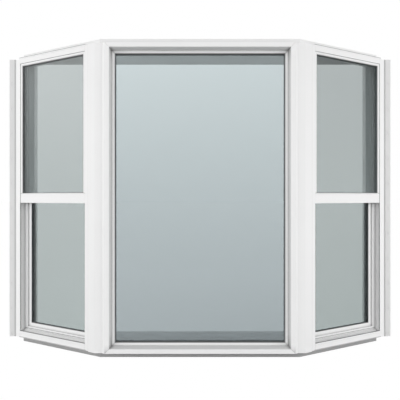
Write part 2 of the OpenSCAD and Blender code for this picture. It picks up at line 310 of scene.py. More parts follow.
@dataclass(frozen=True)
class FloatGlass(Finish):
    """Float glass with a faint body tint, seen through and mirroring at its faces.

    A face mirrors f0 + (1 - f0) * facing ** mirror_power of the light, where facing is 1 - cos(angle),
    from both sides alike, and passes the rest tinted. The tint deepens from the head to the foot of the
    pane: painted shade, worked out from height.
    """

    # the tints at the head and the foot; the deeper foot is painted shade
    head_tint: str
    shaded_foot_tint: str
    foot_z: float
    head_z: float
    faces: int = 4
    f0: float = 0.04
    mirror_power: float = 5.0
    plain_facing_blend: float = 0.5

    def face_tint(self, hex_colour: str) -> tuple[float, float, float, float]:
        """The tint of one face, so that all the faces together give the colour."""
        return (*[c ** (1 / self.faces) for c in linear_rgb(hex_colour)[:3]], 1.0)

    def shader(self, tree: bpy.types.NodeTree, coords: bpy.types.NodeSocket) -> bpy.types.NodeSocket:
        """Adds the tinted clear glass and the mirror at its face.

        Args:
            tree: the material's node tree.
            coords: the Object coordinates.

        Returns:
            The shader's socket.
        """
        # painted shade: the tint deepens from the head to the foot
        height = add_node(tree, "ShaderNodeSeparateXYZ", links={"Vector": coords})
        head_share = add_node(
            tree, "ShaderNodeMapRange", {"From Min": self.foot_z, "From Max": self.head_z},
            {"Value": height.outputs["Z"]},
        )
        tint = add_node(
            tree, "ShaderNodeMix",
            {"A": self.face_tint(self.shaded_foot_tint), "B": self.face_tint(self.head_tint)},
            {"Factor": head_share.outputs["Result"]}, data_type="RGBA",
        )
        clear = add_node(tree, "ShaderNodeBsdfTransparent", links={"Color": tint.outputs["Result"]})
        mirror = add_node(tree, "ShaderNodeBsdfGlossy", {"Roughness": 0.0, "Color": WHITE})
        facing = add_node(tree, "ShaderNodeLayerWeight", {"Blend": self.plain_facing_blend})
        steep = add_node(
            tree, "ShaderNodeMath", {1: self.mirror_power}, {0: facing.outputs["Facing"]},
            operation="POWER",
        )
        mirrored = add_node(
            tree, "ShaderNodeMapRange", {"To Min": self.f0, "To Max": 1.0},
            {"Value": steep.outputs["Value"]},
        )
        mixed = add_node(
            tree, "ShaderNodeMixShader",
            links={0: mirrored.outputs["Result"], 1: clear.outputs["BSDF"], 2: mirror.outputs["BSDF"]},
        )
        return mixed.outputs["Shader"]


@dataclass(frozen=True)
class Glow:
    """The studio's brightness in direction d: level + lean . d + twist * d.x * d.z, from 0 to peak."""

    level: float
    lean: tuple[float, float, float]
    twist: float = 0.0
    peak: float = 1.0

    def add(self, tree: bpy.types.NodeTree, direction: bpy.types.NodeSocket) -> bpy.types.NodeSocket:
        """Adds the nodes that work out the brightness.

        Args:
            tree: the node tree of the floor's material or the world.
            direction: a direction of length 1.

        Returns:
            The brightness.
        """
        dot = add_node(
            tree, "ShaderNodeVectorMath", {1: self.lean}, {0: direction}, operation="DOT_PRODUCT"
        )
        axes = add_node(tree, "ShaderNodeSeparateXYZ", links={"Vector": direction})
        cross = add_node(
            tree, "ShaderNodeMath", links={0: axes.outputs["X"], 1: axes.outputs["Z"]},
            operation="MULTIPLY",
        )
        twisted = add_node(
            tree, "ShaderNodeMath", {1: self.twist, 2: self.level}, {0: cross.outputs["Value"]},
            operation="MULTIPLY_ADD",
        )
        total = add_node(
            tree, "ShaderNodeMath", links={0: twisted.outputs["Value"], 1: dot.outputs["Value"]},
            operation="ADD",
        )
        kept = add_node(tree, "ShaderNodeClamp", {"Max": self.peak}, {"Value": total.outputs["Value"]})
        return kept.outputs["Result"]


# Mirrors and glass show the studio fuller on the left, the more so the higher they look
MIRRORED = Glow(level=0.5, lean=(-0.18, 0.0, 0.0), twist=-1.6)


@dataclass(frozen=True)
class StudioFloor(Finish):
    """White floor that the camera sees as the white backdrop, with only a trace of its own shading.

    Mirrors see it as bright as the world in the same direction, so that no horizon shows in the glass.
    """

    name: str = "studio_floor"
    seen_colour: str = "#ffffff"
    bounce_colour: str = "#8c8c8c"
    backdrop_share: float = 0.985
    backdrop_level: float = 1.005

    def shader(self, tree: bpy.types.NodeTree, coords: bpy.types.NodeSocket) -> bpy.types.NodeSocket:
        """Adds the floor's paint and the backdrop's glow over it.

        Args:
            tree: the material's node tree.
            coords: the Object coordinates, from the frame's origin.

        Returns:
            The shader's socket.
        """
        path = add_node(tree, "ShaderNodeLightPath")
        glossy = path.outputs["Is Glossy Ray"]
        seen = add_node(
            tree, "ShaderNodeMath",
            links={0: path.outputs["Is Camera Ray"], 1: path.outputs["Is Transmission Ray"]},
            operation="MAXIMUM",
        ).outputs["Value"]
        seen_share = add_node(
            tree, "ShaderNodeMath", {1: self.backdrop_share}, {0: seen}, operation="MULTIPLY"
        )
        share = add_node(
            tree, "ShaderNodeMath", links={0: seen_share.outputs["Value"], 1: glossy}, operation="MAXIMUM"
        )
        away = add_node(tree, "ShaderNodeVectorMath", links={0: coords}, operation="NORMALIZE")
        brightness = add_node(
            tree, "ShaderNodeMix", {"A": self.backdrop_level},
            {"Factor": glossy, "B": MIRRORED.add(tree, away.outputs["Vector"])}, data_type="FLOAT",
        )
        colour = add_node(
            tree, "ShaderNodeMix",
            {"A": linear_rgb(self.bounce_colour), "B": linear_rgb(self.seen_colour)},
            {"Factor": seen}, data_type="RGBA",
        )
        paint = add_node(tree, "ShaderNodeBsdfDiffuse", links={"Color": colour.outputs["Result"]})
        glow = add_node(
            tree, "ShaderNodeEmission", {"Color": WHITE}, {"Strength": brightness.outputs["Result"]}
        )
        mixed = add_node(
            tree, "ShaderNodeMixShader",
            links={0: share.outputs["Value"], 1: paint.outputs["BSDF"], 2: glow.outputs["Emission"]},
        )
        return mixed.outputs["Shader"]


@dataclass(frozen=True)
class Finishes:
    """Every material of the window."""

    picture_upvc: bpy.types.Material
    picture_jamb_upvc: bpy.types.Material
    cover_upvc: bpy.types.Material
    sash_upvc: bpy.types.Material
    track_upvc: bpy.types.Material
    sill_upvc: bpy.types.Material
    upper_sash_upvc: bpy.types.Material
    head_board: bpy.types.Material
    seat_board: bpy.types.Material
    wall_jamb: bpy.types.Material
    fin: bpy.types.Material
    picture_glass: bpy.types.Material
    sash_glass: bpy.types.Material
    spacer: bpy.types.Material
    gasket: bpy.types.Material
    brush: bpy.types.Material
    tape: bpy.types.Material
    sealant: bpy.types.Material
    lock: bpy.types.Material
    screw: bpy.types.Material

    @classmethod
    def make(cls) -> "Finishes":
        """Builds every material once.

        Returns:
            The window's finishes.
        """
        pane_low, pane_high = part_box("picture_outer_pane")
        # Dust and painted top shade: a grey film on faces that look up
        dust_and_top_shade = "#8e8e8e"
        # Extruded uPVC: neutral white skin, satin from the die
        skin = Moulded("upvc_picture_frame", "#f9f9f9", "#f6f6f6", (0.26, 0.36))
        # Extruded uPVC with a capped skin: a shade whiter and smoother
        capped = Moulded("upvc_sash_frame", "#fafafa", "#f7f7f7", (0.24, 0.34))
        # Board faced with white foil: flat white, nearly matt
        foil = Moulded("foil_faced_board", "#efefef", "#ececec", (0.5, 0.6), grain_mm=6.0)
        return cls(
            # Picture window's head, sill and beads: painted shade where steps and grooves meet, dust and
            # painted top shade on faces that look up
            picture_upvc=replace(skin, painted_shade="#8c8c8c", painted_shade_mm=18.0, dust_and_top_shade=dust_and_top_shade).make(),
            # The jambs' deep reveals get a much darker painted shade than the head and sill
            picture_jamb_upvc=replace(
                skin, name="upvc_picture_jamb", painted_shade="#2c2c2c", painted_shade_mm=70.0
            ).make(),
            # The folded covers stay white, with a faint line of painted shade in their folds
            cover_upvc=replace(skin, name="upvc_folded_cover", painted_shade="#d0d0d0", painted_shade_mm=3.0).make(),
            # Flanker frames and lower sashes: a soft grey line of painted shade at each step, dust and
            # painted top shade on faces that look up
            sash_upvc=replace(capped, painted_shade="#a4a4a4", painted_shade_mm=12.0, dust_and_top_shade=dust_and_top_shade).make(),
            # The outer jambs' tracks stay pale: only a light painted shade in their grooves
            track_upvc=replace(capped, name="upvc_jamb_track", painted_shade="#dcdcdc", painted_shade_mm=12.0).make(),
            # The sills: less dust and painted top shade on the slope, and a soft painted shade in the
            # gutter
            sill_upvc=replace(
                capped, name="upvc_sill", painted_shade="#a0a0a0", painted_shade_mm=14.0, dust_and_top_shade=dust_and_top_shade, dust_and_top_shade_share=0.24
            ).make(),
            # The upper sash lies nearly flush, so that its skin stays white up to the frame's lip, with
            # only a faint painted shade there
            upper_sash_upvc=replace(
                capped, name="upvc_upper_sash", painted_shade="#c4c4c4", painted_shade_mm=4.0
            ).make(),
            # The head board has a thin line of painted shade along the frames
            head_board=replace(foil, painted_shade="#707070", painted_shade_mm=9.0).make(),
            # The seat's foil is darkened by painted shade under the frames
            seat_board=replace(
                foil, name="foil_faced_seat", pale="#ededed", deep="#e9e9e9", painted_shade="#6c6c6c"
            ).make(),
            # The wall jambs' foil has only a light painted shade in its corners
            wall_jamb=replace(foil, name="foil_faced_jamb", deep="#ebebeb", painted_shade="#b4b4b4").make(),
            # Thin uPVC strip, greyer and duller than the frames' capped skin, with painted shade in its
            # corners
            fin=Moulded("upvc_plain_strip", "#e8e8e8", "#e3e3e3", (0.45, 0.55), painted_shade="#9a9a9a").make(),
            # Coated float glass: faint blue-grey body, and painted shade that deepens it towards the foot
            # of the panes
            picture_glass=FloatGlass("float_glass", "#d3dee0", "#a5afb2", pane_low.z, pane_high.z).make(),
            # The sashes' thinner units: a greyer, darker copy of the glass, painted shade for how the side
            # units read
            sash_glass=FloatGlass(
                "float_glass_sash", "#bfc6c6", "#aeb8b7", pane_low.z, pane_high.z
            ).make(),
            # Mill-finish aluminium: grey metal, a little cloudy from the rolling
            spacer=Moulded("aluminium_spacer", "#a9adaf", "#9da2a4", (0.35, 0.5), metallic=1.0).make(),
            # EPDM rubber: dark grey, matt, slightly bloomed
            gasket=Moulded("epdm_rubber", "#7a7c7d", "#6e7071", (0.6, 0.75), ior=1.52, sheen=0.1).make(),
            # Woven pile strip: pale grey fibres that scatter light
            brush=Moulded(
                "polypropylene_pile", "#b4b8b9", "#8f9496", (0.85, 0.95), grain_mm=1.2,
                grain_height_mm=0.4, sheen=0.4,
            ).make(),
            # Acrylic sealing tape: white, slightly glossy film
            tape=Moulded("acrylic_tape", "#efefef", "#e8e8e8", (0.3, 0.4), grain_mm=5.0).make(),
            # Silicone sealant: pale grey, soft sheen, smoothed by hand
            sealant=Moulded(
                "silicone_sealant", "#c9c9c9", "#c2c2c2", (0.3, 0.45), broad_mm=60.0, grain_mm=8.0,
                grain_height_mm=0.1,
            ).make(),
            # Powder-coated zinc casting: white with a fine orange peel
            lock=Moulded("powder_coated_zinc", "#f1f1f1", "#ededed", (0.35, 0.45), grain_mm=2.0).make(),
            # Zinc-plated steel screw head: pale bright metal
            screw=Moulded("zinc_plated_steel", "#c6c9cb", "#b4b8ba", (0.2, 0.35), metallic=1.0).make(),
        )


def grid_piece(
    name: str, points: np.ndarray, closed_path: bool, material: bpy.types.Material
) -> None:
    """Makes one piece from a grid of points: a profile at each stop of a path.

    The grid is points[stop, profile point, xyz]. The profile is a closed loop. The path is a closed
    loop too, or has its two ends shut by flat caps. Faces are turned outwards by the sign of the volume.

    Args:
        name: the piece's name.
        points: array of shape (stops, profile points, 3).
        closed_path: True if the last stop joins the first.
        material: the piece's finish.
    """
    stops, count = points.shape[:2]
    index = np.arange(stops * count).reshape(stops, count)
    rows = index if closed_path else index[:-1]
    after = np.roll(index, -1, axis=0) if closed_path else index[1:]
    quads = np.stack(
        [rows, np.roll(rows, -1, axis=1), np.roll(after, -1, axis=1), after], axis=-1
    ).reshape(-1, 4)
    flat = points.reshape(-1, 3)
    middle = flat.mean(axis=0)
    a, b, c, d = (flat[quads[:, i]] - middle for i in range(4))
    volume = np.einsum("ij,ij->", a, np.cross(b, c)) + np.einsum("ij,ij->", a, np.cross(c, d))
    caps = [] if closed_path else [index[0][::-1].tolist(), index[-1].tolist()]
    faces = quads.tolist() + caps
    if volume < 0:
        faces = [face[::-1] for face in faces]
    mesh = bpy.data.meshes.new(name)
    mesh.from_pydata(flat.tolist(), [], faces)
    mesh.validate()
    mesh.materials.append(material)
    piece = bpy.data.objects.new(name, mesh)
    bpy.context.scene.collection.objects.link(piece)
    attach(piece, BODY)
    LOG.info("added %s with %d faces", name, len(faces))


def soften_edges(node: str, width_mm: float) -> None:
    """Rounds a rigid node's edges: its triangles are welded, flat areas joined, and sharp edges bevelled.

    Args:
        node: the node's name.
        width_mm: width of the rounded edge.
    """
    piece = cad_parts[node]
    weld = piece.modifiers.new("weld", "WELD")
    weld.merge_threshold = WELD_MM * MM
    flat = piece.modifiers.new("flat_areas", "DECIMATE")
    flat.decimate_type = "DISSOLVE"
    flat.angle_limit = FLAT_LIMIT
    bevel = piece.modifiers.new("edge_radius", "BEVEL")
    bevel.width = width_mm * MM
    bevel.segments = EDGE_STEPS
    bevel.limit_method = "ANGLE"
    bevel.angle_limit = CORNER_LIMIT
    bevel.use_clamp_overlap = True
    normals = piece.modifiers.new("even_shading", "WEIGHTED_NORMAL")
    normals.keep_sharp = False


def dress(node: str, material: bpy.types.Material, edge_mm: float | None = FRAME_EDGE_MM) -> None:
    """Gives a rigid node its finish and rounds its edges.

    Args:
        node: the node's name.
        material: the node's finish.
        edge_mm: width of the rounded edges, or None where they stay as cut.
    """
    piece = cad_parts[node]
    piece.data.materials.clear()
    piece.data.materials.append(material)
    if edge_mm is not None:
        soften_edges(node, edge_mm)
    LOG.info("dressed %s", node)


@dataclass(frozen=True)
class UnitAxes:
    """Axes of a window unit in plan: along its width and inward to the room."""

    along: tuple[float, float]
    inward: tuple[float, float]

    @classmethod
    def flanker(cls, side: Side) -> "UnitAxes":
        """Axes of a flanker, turned back by the bay angle."""
        c, s = math.cos(BAY_ANGLE), math.sin(BAY_ANGLE)
        return cls((side.value * c, s), (-side.value * s, c))

    @classmethod
    def centre(cls) -> "UnitAxes":
        """Axes of the picture window, which are the frame's own."""
        return cls((1.0, 0.0), (0.0, 1.0))

    def matrix(self) -> np.ndarray:
        """Rows are the unit's width, depth and height directions."""
        return np.array([(*self.along, 0.0), (*self.inward, 0.0), (0.0, 0.0, 1.0)])

    def box(self, node: str) -> tuple[np.ndarray, np.ndarray]:
        """Lowest and highest corner of a node along the unit's own axes.

        Args:
            node: the node's name.

        Returns:
            Two arrays of width, depth and height.
        """
        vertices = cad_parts[node].data.vertices
        points = np.empty(len(vertices) * 3)
        vertices.foreach_get("co", points)
        local = points.reshape(-1, 3) @ self.matrix().T
        return local.min(axis=0), local.max(axis=0)

    def place(self, local: np.ndarray) -> np.ndarray:
        """Turns points along the unit's axes into points of the frame."""
        return local @ self.matrix()


def add_bar(
    name: str,
    axes: UnitAxes,
    run: Run,
    ends: tuple[float, float],
    section: tuple[np.ndarray, np.ndarray],
    material: bpy.types.Material,
) -> None:
    """Adds a straight piece: one section, carried from end to end along one of a unit's axes.

    Args:
        name: the piece's name.
        axes: the unit's axes.
        run: the axis that the piece follows.
        ends: the piece's two ends along that axis.
        section: the section's coordinates along the other two axes, in their order.
        material: the piece's finish.
    """
    local = np.empty((2, section[0].size, 3))
    local[..., run.value] = np.array(ends)[:, None]
    others = [axis for axis in range(3) if axis != run.value]
    for axis, values in zip(others, section):
        local[..., axis] = values
    grid_piece(name, axes.place(local), False, material)


@dataclass(frozen=True)
class Gasket:
    """A rubber seal that runs round a pane or an opening.

    Its section is a quarter round: inset = start + width * sin(t), height = thickness * cos(t), for t
    from 0 to a quarter turn, closed along the face that it lies on.
    """

    start_mm: float
    width_mm: float
    thickness_mm: float
    steps: int = 6

    def section(self) -> np.ndarray:
        """Works out the section.

        Returns:
            Points of inset from the pane's edge and height off the face, in metres.
        """
        t = np.linspace(0.0, math.pi / 2, self.steps)
        round_side = np.stack(
            [self.start_mm + self.width_mm * np.sin(t), self.thickness_mm * np.cos(t)], axis=-1
        )
        return np.vstack([[self.start_mm, 0.0], round_side]) * MM

    def carry(
        self, axes: UnitAxes, low: np.ndarray, high: np.ndarray, face: float, facing: Facing, closed: bool
    ) -> np.ndarray:
        """Carries the section up one side, across the head and down the other, with mitred corners.

        Args:
            axes: the unit's axes.
            low: lowest corner of the pane or opening along the axes.
            high: highest corner of the pane or opening along the axes.
            face: depth of the face that the seal lies on.
            facing: the way that the face looks.
            closed: True if the seal goes back along the foot, with mitres there too.

        Returns:
            Points of shape (4, section points, 3).
        """
        inset, height = self.section().T
        left, right = low[0] + inset, high[0] - inset
        foot = low[2] + inset if closed else np.full_like(inset, low[2])
        head = high[2] - inset
        width = np.stack([left, left, right, right])
        rise = np.stack([foot, head, head, foot])
        depth = np.broadcast_to(face + facing.value * height, width.shape)
        return axes.place(np.stack([width, depth, rise], axis=-1))


@dataclass(frozen=True)
class Strip:
    """A strip of half-oval section that stands on a face.

    across = middle + width / 2 * cos(t), off = face + reach * sin(t), for t over half a turn.
    """

    middle_mm: float
    width_mm: float
    reach_mm: float
    steps: int = 9

    def section(self, start: float, face: float, facing: Facing) -> tuple[np.ndarray, np.ndarray]:
        """Places the section.

        Args:
            start: where middle_mm is measured from.
            face: depth of the face that the strip stands on.
            facing: the way that the face looks.

        Returns:
            The points' places across the strip and their depths.
        """
        t = np.linspace(0.0, math.pi, self.steps)
        across = start + (self.middle_mm + self.width_mm / 2 * np.cos(t)) * MM
        return across, face + facing.value * self.reach_mm * MM * np.sin(t)


@dataclass(frozen=True)
class ScrewHead:
    """A domed screw head: radius = R * cos(t), height = h * sin(t), for t from 0 to the crown's angle."""

    radius_mm: float
    dome_mm: float
    crown_angle: float = math.radians(81)
    rings: int = 5
    sides: int = 16

    def points(self, axes: UnitAxes, middle: np.ndarray) -> np.ndarray:
        """Stands the head on a level face.

        Args:
            axes: the unit's axes.
            middle: the middle of the head's foot along the axes.

        Returns:
            Points of shape (rings, sides, 3).
        """
        t = np.linspace(0.0, self.crown_angle, self.rings)[:, None]
        turn = np.linspace(0.0, 2 * math.pi, self.sides, endpoint=False)[None, :]
        radius = self.radius_mm * MM * np.cos(t)
        width, depth = middle[0] + radius * np.cos(turn), middle[1] + radius * np.sin(turn)
        rise = np.broadcast_to(middle[2] + self.dome_mm * MM * np.sin(t), width.shape)
        return axes.place(np.stack([width, depth, rise], axis=-1))


@dataclass
class Boards:
    """Head and seat boards with the wall jambs and nail fins that close the bay against the wall."""

    finishes: Finishes
    edge_mm: float = 1.0
    fin_mm: float = 2.0
    tape_inset_mm: tuple[float, float] = (8.0, 3.0)
    tape_mm: float = 0.8
    # a grey bead of sealant at the fin's root, also painted shade beside the frame
    fin_sealant_and_shade: Strip = Strip(3.5, 7.0, 1.6)

    def build(self) -> None:
        """Dresses the boards, wall jambs and fins, and adds each fin's tape and its grey sealant bead,
        which is also painted shade.
        """
        dress("head_board", self.finishes.head_board, self.edge_mm)
        dress("seat_board", self.finishes.seat_board, self.edge_mm)
        for side in Side:
            dress(side.node("wall_jamb"), self.finishes.wall_jamb, self.edge_mm)
            dress(side.node("nail_fin"), self.finishes.fin, None)
            self.add_tape(side)
            self.add_sealant(side)

    def fin_root(self, side: Side) -> float:
        """Distance from the bay's middle to the fin's root, on the wall jamb's outer face."""
        return max(abs(corner.x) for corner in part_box(side.node("wall_jamb")))

    def add_upright(
        self, side: Side, part: str, out: np.ndarray, depth: np.ndarray, material: bpy.types.Material
    ) -> None:
        """Adds a piece of even plan as tall as the fin.

        Args:
            side: the fin's side.
            part: the part's name.
            out: the outline's distances from the fin's root.
            depth: the outline's depths behind the fin's front.
            material: the piece's finish.
        """
        low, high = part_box(side.node("nail_fin"))
        outline = (side.value * (self.fin_root(side) + out), depth)
        add_bar(
            side.node(part), UnitAxes.centre(), Run.UP, (low.z, high.z), outline, material
        )

    def add_tape(self, side: Side) -> None:
        """Adds the flat sealing tape on the fin's back, behind the nail slots.

        Args:
            side: the fin's side.
        """
        edge = max(abs(corner.x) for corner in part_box(side.node("nail_fin"))) - self.fin_root(side)
        near, far = self.tape_inset_mm[0] * MM, edge - self.tape_inset_mm[1] * MM
        face, back = self.fin_mm * MM, (self.fin_mm + self.tape_mm) * MM
        out, depth = np.array([near, far, far, near]), np.array([face, face, back, back])
        self.add_upright(side, "fin_tape", out, depth, self.finishes.tape)

    def add_sealant(self, side: Side) -> None:
        """Adds the grey bead of sealant along the fin's root, which is also painted shade beside the frame.
        """
        out, depth = self.fin_sealant_and_shade.section(0.0, 0.0, Facing.OUTDOORS)
        self.add_upright(side, "fin_sealant_and_shade", out, depth, self.finishes.sealant)


@dataclass
class PictureWindow:
    """The fixed picture window: four mitred sides, beads, sealed glass and its seals."""

    finishes: Finishes
    bead_edge_mm: float = 0.6
    outer_gasket: Gasket = Gasket(10.5, 4.5, 2.6)
    inner_gasket: Gasket = Gasket(10.5, 3.0, 2.2)

    def build(self) -> None:
        """Dresses the rigid pieces and adds the seals."""
        for part in ("head", "sill"):
            dress(f"picture_frame_{part}", self.finishes.picture_upvc)
        for part in ("left_jamb", "right_jamb"):
            dress(f"picture_frame_{part}", self.finishes.picture_jamb_upvc)
        dress("picture_beads", self.finishes.picture_upvc, self.bead_edge_mm)
        for pane in ("outer", "inner"):
            dress(f"picture_{pane}_pane", self.finishes.picture_glass, None)
        dress("picture_spacer", self.finishes.spacer, None)
        self.add_seals()

    def add_seals(self) -> None:
        """Adds a seal on the outer pane outdoors and one on the inner pane on the room side."""
        axes = UnitAxes.centre()
        for place, gasket, facing in (
            ("outer", self.outer_gasket, Facing.OUTDOORS),
            ("inner", self.inner_gasket, Facing.ROOM),
        ):
            low, high = axes.box(f"picture_{place}_pane")
            face = low[1] if facing is Facing.OUTDOORS else high[1]
            points = gasket.carry(axes, low, high, face, facing, True)
            grid_piece(f"picture_{place}_seal", points, True, self.finishes.gasket)


@dataclass
class Flanker:
    """A single-hung flanker: outer frame, fixed upper sash, sliding lower sash, glass, seals and lock.

    The strips' middles are measured from the head's top, the sill's foot, or an edge of the opening or
    of the glass.
    """

    side: Side
    finishes: Finishes
    gasket: Gasket = Gasket(6.5, 2.2, 1.6)
    # a dark weather strip that also gives the lip's shadow line: painted shade
    weather_and_shadow_strip: Gasket = Gasket(-0.9, 2.2, 0.9)
    weather_and_shadow_strip_foot_mm: float = 27.0
    head_trim: Strip = Strip(1.75, 6.5, 0.8)
    # painted shade: a dark seal for the shadow line where the head meets the head board
    head_shadow_seal: Strip = Strip(5.3, 2.0, 0.8)
    sill_trim: Strip = Strip(29.5, 9.0, 0.8)
    # painted shade: a dark strip on the sill's lip for the gutter's shadow line
    sill_lip_shadow_seal: Strip = Strip(35.8, 3.6, 0.6)
    sill_seal: Strip = Strip(45.2, 1.2, 2.0)
    # painted shade: a grey strip at the sill's foot that deepens the seat's shaded edge
    seat_shadow_seal: Strip = Strip(2.4, 4.8, 0.6)
    # painted shade: a dark seal behind each jamb's lip for its shadow line
    track_shadow_seal: Strip = Strip(0.7, 4.0, 3.8)
    # painted shade: a grey pile strip on the room side of the lower glass, for the shade of a deep stile
    stile_shadow_pile: Strip = Strip(12.5, 12.0, 8.0)
    joint_fillet_mm: tuple[float, float] = (13.0, 9.0)
    room_fillet_mm: float = 15.0
    brush_width_mm: float = 5.0
    brush_inset_mm: float = 8.0
    lock_edge_mm: float = 0.6
    lock_base_mm: float = 5.0
    screw: ScrewHead = ScrewHead(3.2, 1.6)
    screw_reach_mm: float = 26.0

    @property
    def axes(self) -> UnitAxes:
        """This flanker's axes."""
        return UnitAxes.flanker(self.side)

    def box(self, part: str) -> tuple[np.ndarray, np.ndarray]:
        """Lowest and highest corner of a part along the flanker's axes."""
        return self.axes.box(self.side.node(part))

    def opening(self) -> tuple[float, float]:
        """The inner and the outer jamb's edges along the width, with the opening between."""
        return self.box("frame_inner_jamb")[1][0], self.box("frame_outer_jamb")[0][0]

    def build(self) -> None:
        """Dresses the rigid pieces, and adds the seals, the dark strips of painted shade, trims, pile
        strips, fillets and screws.
        """
        for part in ("corner_post", "post_cover"):
            dress(self.side.node(part), self.finishes.cover_upvc)
        for part in ("frame_head", "frame_inner_jamb", "lower_sash_stiles", "lower_sash_rails"):
            dress(self.side.node(part), self.finishes.sash_upvc)
        dress(self.side.node("frame_outer_jamb"), self.finishes.track_upvc)
        dress(self.side.node("frame_sill"), self.finishes.sill_upvc)
        for part in ("upper_sash_stiles", "upper_sash_top_rail", "meeting_rail"):
            dress(self.side.node(part), self.finishes.upper_sash_upvc)
        for part in ("upper_glass", "lower_glass"):
            dress(self.side.node(part), self.finishes.sash_glass, None)
            self.add_seals(part)
        dress(self.side.node("glass_spacers"), self.finishes.spacer, None)
        dress(self.side.node("sash_lock"), self.finishes.lock, self.lock_edge_mm)
        self.add_weather_and_shadow_strip()
        self.add_brush()
        self.add_head_strips()
        self.add_sill_strips()
        self.add_track_shadow_seals()
        self.add_stile_shadow_piles()
        self.add_joint_fillet()
        self.add_room_fillet()
        self.add_screws()

    def add_seals(self, glass: str) -> None:
        """Adds a seal on each face of a glazed unit.

        Args:
            glass: the glazed unit's part name.
        """
        low, high = self.box(glass)
        for place, face, facing in (
            ("outer", low[1], Facing.OUTDOORS),
            ("inner", high[1], Facing.ROOM),
        ):
            name = f"{self.side.node(glass)}_{place}_seal"
            points = self.gasket.carry(self.axes, low, high, face, facing, True)
            grid_piece(name, points, True, self.finishes.gasket)

    def add_weather_and_shadow_strip(self) -> None:
        """Adds the dark weather strip between the frame's lip and the upper sash, up both jambs and over
        the head. It is also painted shade: the lip's shadow line.
        """
        inner_edge, outer_edge = self.opening()
        foot = self.box("frame_inner_jamb")[0][2] + self.weather_and_shadow_strip_foot_mm * MM
        head = self.box("frame_head")[0][2]
        face = self.box("upper_sash_stiles")[0][1]
        low, high = np.array([inner_edge, face, foot]), np.array([outer_edge, face, head])
        points = self.weather_and_shadow_strip.carry(self.axes, low, high, face, Facing.OUTDOORS, False)
        grid_piece(self.side.node("weather_and_shadow_strip"), points, False, self.finishes.gasket)

    def add_brush(self) -> None:
        """Adds the brush that closes the gap between the meeting rail and the lower sash."""
        rail_low, rail_high = self.box("meeting_rail")
        gap_start = self.box("upper_sash_stiles")[1][1]
        gap_end = self.box("lower_sash_stiles")[0][1]
        half_rail_mm = (rail_high[2] - rail_low[2]) / 2 / MM
        brush = Strip(half_rail_mm, self.brush_width_mm, (gap_end - gap_start) / MM)
        rise, depth = brush.section(rail_low[2], gap_start, Facing.ROOM)
        inset = self.brush_inset_mm * MM
        ends = (rail_low[0] + inset, rail_high[0] - inset)
        add_bar(
            self.side.node("meeting_brush"), self.axes, Run.ACROSS, ends, (depth, rise),
            self.finishes.brush,
        )

    def add_head_strips(self) -> None:
        """Adds the trim along the top of the head and the thin dark seal between it and the head board,
        which is painted shade for the joint's shadow line.
        """
        low, high = self.box("frame_head")
        for part, strip, material, slot in (
            ("head_trim", self.head_trim, self.finishes.sash_upvc, Slot.UPVC),
            ("head_shadow_seal", self.head_shadow_seal, self.finishes.gasket, Slot.SPACER),
        ):
            rise, depth = strip.section(high[2], low[1], Facing.OUTDOORS)
            ends, section = (low[0], high[0]), (depth, rise)
            add_bar(self.side.node(part), self.axes, Run.ACROSS, ends, section, material)

    def add_sill_strips(self) -> None:
        """Adds the trim on the sill's lip with a dark strip of painted shade for the gutter's shadow line,
        the seal at the sash's foot, and a grey strip of painted shade on the seat at the sill's foot.
        """
        low, high = self.box("frame_sill")
        sash_face = self.box("lower_sash_stiles")[0][1]
        opening, whole = self.opening(), (low[0], high[0])
        for part, strip, ends, face, material, slot in (
            ("sill_trim", self.sill_trim, opening, low[1], self.finishes.sash_upvc, Slot.UPVC),
            ("sill_lip_shadow_seal", self.sill_lip_shadow_seal, opening, low[1], self.finishes.gasket, Slot.SPACER),
            ("sill_seal", self.sill_seal, opening, sash_face, self.finishes.gasket, Slot.SPACER),
            ("seat_shadow_seal", self.seat_shadow_seal, whole, low[1], self.finishes.sealant, Slot.FIN),
        ):
            rise, depth = strip.section(low[2], face, Facing.OUTDOORS)
            add_bar(self.side.node(part), self.axes, Run.ACROSS, ends, (depth, rise), material)

    def add_track_shadow_seals(self) -> None:
        """Adds a dark seal behind each jamb's lip, below the upper sash: painted shade for the lip's shadow
        line.
        """
        sash_low, _ = self.box("upper_sash_stiles")
        foot = self.box("frame_sill")[0][2] + self.sill_seal.middle_mm * MM
        width, depth = self.track_shadow_seal.section(0.0, sash_low[1], Facing.ROOM)
        for name, edge, out in zip(("inner", "outer"), self.opening(), (-1.0, 1.0)):
            add_bar(
                self.side.node(f"{name}_track_seal"), self.axes, Run.UP, (foot, sash_low[2]),
                (edge + out * width, depth), self.finishes.gasket,
            )

    def add_stile_shadow_piles(self) -> None:
        """Adds the deep pile strip along each stile of the lower sash, on the room side of its glass: a
        grey strip of painted shade for the shade of a deeper stile.
        """
        low, high = self.box("lower_glass")
        inset = self.gasket.start_mm * MM
        width, depth = self.stile_shadow_pile.section(0.0, high[1], Facing.ROOM)
        ends = (low[2] + inset, high[2] - inset)
        for name, edge, inward in (("inner", low[0], 1.0), ("outer", high[0], -1.0)):
            add_bar(
                self.side.node(f"{name}_stile_seal"), self.axes, Run.UP, ends,
                (edge + inward * width, depth), self.finishes.brush,
            )

    def add_room_fillet(self) -> None:
        """Adds the white fillet of sealant in the corner of the outer jamb and the wall jamb, room side.

        Its section is a triangle with two legs of room_fillet_mm, along width and depth.
        """
        jamb_low, jamb_high = self.box("frame_outer_jamb")
        leg = self.room_fillet_mm * MM
        section = (jamb_low[0] - np.array([0.0, 0.0, leg]), jamb_high[1] - np.array([0.0, leg, 0.0]))
        ends = (self.box("frame_sill")[1][2], self.box("frame_head")[0][2])
        name, material = self.side.node("room_seal"), self.finishes.cover_upvc
        add_bar(name, self.axes, Run.UP, ends, section, material)

